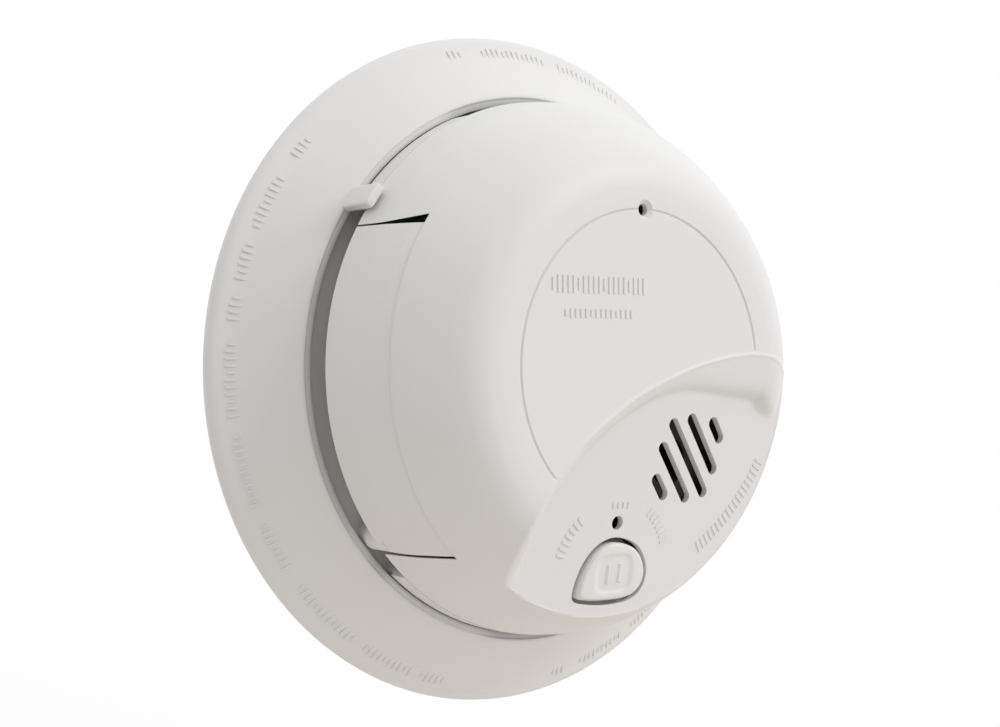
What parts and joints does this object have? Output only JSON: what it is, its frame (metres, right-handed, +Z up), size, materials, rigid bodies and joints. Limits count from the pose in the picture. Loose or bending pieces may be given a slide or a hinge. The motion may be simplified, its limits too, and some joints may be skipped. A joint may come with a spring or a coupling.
{
  "type": "smoke alarm",
  "caption": "Round wall smoke alarm on a domed twist-lock bracket, with a sunk face, test button, sound slots, light pipes and a swing-out side battery drawer.",
  "frame": {"origin": "centre of the bracket's back face, on the alarm's axis", "axes": "+Y out of the back, into the wall; -Y towards the front; +Z up when wall mounted; +X to the viewer's right"},
  "size_m": [0.142, 0.0478, 0.142],
  "materials": {
    "housing_white": "fine satin moulding, slightly warm off-white",
    "button_white": "satin",
    "steel": "zinc-plated, satin",
    "spring_brass": "bright strip",
    "board_green": "solder resist, semi-gloss",
    "black_plastic": "moulded black",
    "chamber_metal": "plain sheet",
    "foil_silver": "bright foil",
    "clear_plastic": "clear, polished",
    "led_red": "tinted clear",
    "led_green": "tinted clear",
    "battery_wrap": "plain dark wrap with a copper-coloured band",
    "capacitor_tan": "dipped",
    "capacitor_blue": "sleeved",
    "resistor_body": "lacquered",
    "socket_cream": "moulded",
    "label_paper": "blank coated label"
  },
  "bodies": {
    "bracket": {"mounting_bracket": "housing_white"},
    "alarm": {"base_housing": "housing_white", "front_cover": "housing_white", "drawer_hinge_pin": "steel", "battery_contacts": "spring_brass", "circuit_board": "board_green", "cover_screws": "steel", "board_screws": "steel", "chamber_base": "black_plastic", "source_holder": "steel", "source_disc": "foil_silver", "collector_plate": "chamber_metal", "chamber_cover": "chamber_metal", "insect_screen": "steel", "horn_housing": "black_plastic", "piezo_disc": "spring_brass", "horn_contacts": "spring_brass", "alarm_led": "led_red", "power_led": "led_green", "alarm_light_pipe": "clear_plastic", "power_light_pipe": "clear_plastic", "alarm_ic": "black_plastic", "film_capacitor": "capacitor_tan", "electrolytic_capacitors": "capacitor_blue", "resistors": "resistor_body", "diodes": "black_plastic", "test_contact": "spring_brass", "power_socket": "socket_cream", "connector_pins": "steel", "rear_label": "label_paper"},
    "battery_drawer": {"battery_drawer": "housing_white", "battery_case": "battery_wrap", "battery_terminals": "steel"},
    "test_button": {"test_button": "button_white"}
  },
  "joints": [
    {"name": "twist_lock", "type": "hinge", "parent": "bracket", "child": "alarm", "pos_m": [0, 0, 0], "axis": [0, -1, 0], "range_deg": [0, 18]},
    {"name": "drawer_hinge", "type": "hinge", "parent": "alarm", "child": "battery_drawer", "pos_m": [-0.0411, -0.02, -0.0322], "axis": [0, -1, 0], "range_deg": [0, 60]},
    {"name": "button_press", "type": "slide", "parent": "alarm", "child": "test_button", "axis": [0, 1, 0], "range_m": [0, 0.0015], "stiffness_N_per_m": 1500, "springref_m": -0.0007}
  ]
}
